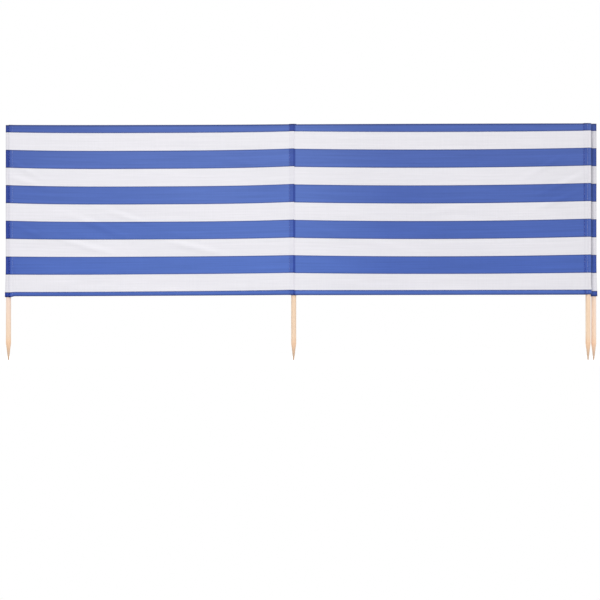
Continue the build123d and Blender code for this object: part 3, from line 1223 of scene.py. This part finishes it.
def wood_material(groups):
    """Pale sanded softwood, warmer on the cut point, which is soiled where it goes into sand."""
    material, nodes, links, shader = new_material("pale_softwood")
    tree = material.node_tree
    place = nodes.new("ShaderNodeTexCoord").outputs["Object"]
    grain = use_group(tree, groups["grain"], Band_spacing=BAND_SPACING)
    links.new(place, grain.inputs["Place"])
    x, y, z = split_axes(tree, place)
    leftmost = math_node(tree, "MULTIPLY_ADD", x, *LEFT_FADE, True)
    rear = math_node(tree, "MULTIPLY", y, REAR_START, None, True)
    warm = blend_colours(tree, "MIX", grain.outputs["Tone"], *WARM_WOODS)
    upward = math_node(tree, "MULTIPLY_ADD", z, *UPWARD_START, True)
    leftmost = math_node(tree, "MULTIPLY", leftmost, upward)
    pale = blend_colours(tree, "MIX", leftmost, warm, LEFT_WOOD)
    # Painted light: the rear poles take the paler wood against the shade of the front poles
    rear = math_node(tree, "MULTIPLY", rear, math_node(tree, "MULTIPLY_ADD", upward, *REAR_UPWARD))
    base = blend_colours(tree, "MIX", rear, pale, REAR_LIT_WOOD)
    band_share = math_node(tree, "MULTIPLY", grain.outputs["Bands"], BAND_SHARE)
    banded = blend_colours(tree, "MULTIPLY", band_share, base, GRAIN_TINT)
    fibre_tone = math_node(tree, "MULTIPLY_ADD", grain.outputs["Fibres"], *FIBRE_TONES)
    fibred = blend_colours(tree, "MULTIPLY", 1.0, banded, fibre_tone)
    smear = stretched_noise(tree, place, SAND_SMEARS, detail=3)
    height = math_node(tree, "MULTIPLY_ADD", smear, SMEAR_HEIGHT, z)
    masks = []
    for (high, low), share in ((CUT_ENDS, 1), (SOILED_ENDS, SOILED_SHARE)):
        masks.append(remap(tree, height, high, low, 0, share, "SMOOTHSTEP"))
    cut = blend_colours(tree, "MULTIPLY", masks[0], fibred, CUT_TINT)
    weathered = blend_colours(tree, "MIX", masks[1], cut, SOILED_WOOD)
    links.new(weathered, shader.inputs["Base Color"])
    rough = math_node(tree, "MULTIPLY_ADD", grain.outputs["Fibres"], *WOOD_ROUGHNESS)
    links.new(rough, shader.inputs["Roughness"])
    shader.inputs["Specular IOR Level"].default_value = 0.35
    fibres = grain.outputs["Fibres"]
    relief = math_node(tree, "MULTIPLY_ADD", grain.outputs["Bands"], BAND_RELIEF, fibres)
    add_bump(tree, shader, relief, distance=WOOD_RELIEF, strength=0.4)
    return material


# Floor and camera
FLOOR_SIZE = 14
FLOOR_PLACE = (1.37, 0, -0.2 * MM)
FLOOR_GLOW = 0.35
CAMERA_PLACE = (1.3677, -90, 0.2813)
CAMERA_CLIP = (1, 200)
FRAME_WIDTH = 2.815
SENSOR_WIDTH = 36


def camera_ray_mask(tree):
    """One for what the camera, a mirror or glass sees directly, and zero for light that falls."""
    path = tree.nodes.new("ShaderNodeLightPath")
    seen = math_node(tree, "ADD", path.outputs["Is Camera Ray"], path.outputs["Is Glossy Ray"])
    return math_node(tree, "ADD", seen, path.outputs["Is Transmission Ray"], None, True)


def make_world(level):
    """Even sky light at the given level, seen as white behind the object."""
    world = bpy.data.worlds.new("studio")
    bpy.context.scene.world = world
    world.use_nodes = True
    tree = world.node_tree
    background = tree.nodes["Background"]
    background.inputs["Color"].default_value = (1, 1, 1, 1)
    strength = math_node(tree, "MULTIPLY_ADD", camera_ray_mask(tree), 1 - level, level)
    tree.links.new(strength, background.inputs["Strength"])


def make_floor():
    """Pale floor at the pole tips. It shows white and still takes the object's shadow."""
    bpy.ops.object.select_all(action="DESELECT")
    bpy.ops.mesh.primitive_plane_add(size=FLOOR_SIZE, location=FLOOR_PLACE)
    floor = bpy.context.object
    floor.name = "floor"
    material, _, links, shader = new_material("pale_floor")
    shader.inputs["Base Color"].default_value = (0.8, 0.8, 0.8, 1)
    shader.inputs["Roughness"].default_value = 0.9
    shader.inputs["Emission Color"].default_value = (1, 1, 1, 1)
    glow = math_node(material.node_tree, "MULTIPLY", camera_ray_mask(material.node_tree), FLOOR_GLOW)
    links.new(glow, shader.inputs["Emission Strength"])
    floor.data.materials.append(material)


def add_sun(name, strength, spread, azimuth, height):
    """Soft far lamp. Azimuth 0 shines from the front and 90 from the right, in degrees."""
    lamp = bpy.data.lights.new(name, "SUN")
    lamp.energy = strength
    lamp.angle = math.radians(spread)
    piece = bpy.data.objects.new(name, lamp)
    bpy.context.scene.collection.objects.link(piece)
    a, h = math.radians(azimuth), math.radians(height)
    towards = Vector((math.sin(a) * math.cos(h), -math.cos(a) * math.cos(h), math.sin(h)))
    piece.rotation_mode = "QUATERNION"
    piece.rotation_quaternion = towards.to_track_quat("Z", "Y")


def make_camera():
    """Square on from far in front, through a long lens."""
    data = bpy.data.cameras.new("camera")
    data.sensor_width = SENSOR_WIDTH
    data.lens = SENSOR_WIDTH * -CAMERA_PLACE[1] / FRAME_WIDTH
    data.clip_start, data.clip_end = CAMERA_CLIP
    camera = bpy.data.objects.new("camera", data)
    bpy.context.scene.collection.objects.link(camera)
    camera.location = CAMERA_PLACE
    camera.rotation_euler = (math.pi / 2, 0, 0)
    bpy.context.scene.camera = camera


bpy.context.scene.view_settings.view_transform = "Standard"
make_camera()
make_world(level=0.8)
add_sun("key", strength=0.91, spread=60, azimuth=4, height=40)
add_sun("back", strength=0.8, spread=40, azimuth=175, height=35)
make_floor()

groups = {"weave": weave_group(), "stripes": stripes_group(), "grain": grain_group()}
canvas = canvas_material(groups)
thread = thread_material()
wood = wood_material(groups)
for pole in POCKETS:
    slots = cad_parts["pole_" + pole].data.materials
    slots[0] = wood

stitch = model_stitch()
for bay in BAYS.values():
    piece = make_canvas(bay, canvas)
    stitching = make_stitching(bay, stitch, thread)
    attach(piece, bay.body)
    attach(stitching, bay.body)
    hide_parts("cloth_" + bay.name, "top_hem_" + bay.name, "bottom_hem_" + bay.name)
for pole in POCKETS:
    pocket = make_pocket(pole, canvas)
    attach(pocket, POCKETS[pole].bay.body)
    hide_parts("sleeve_" + pole)
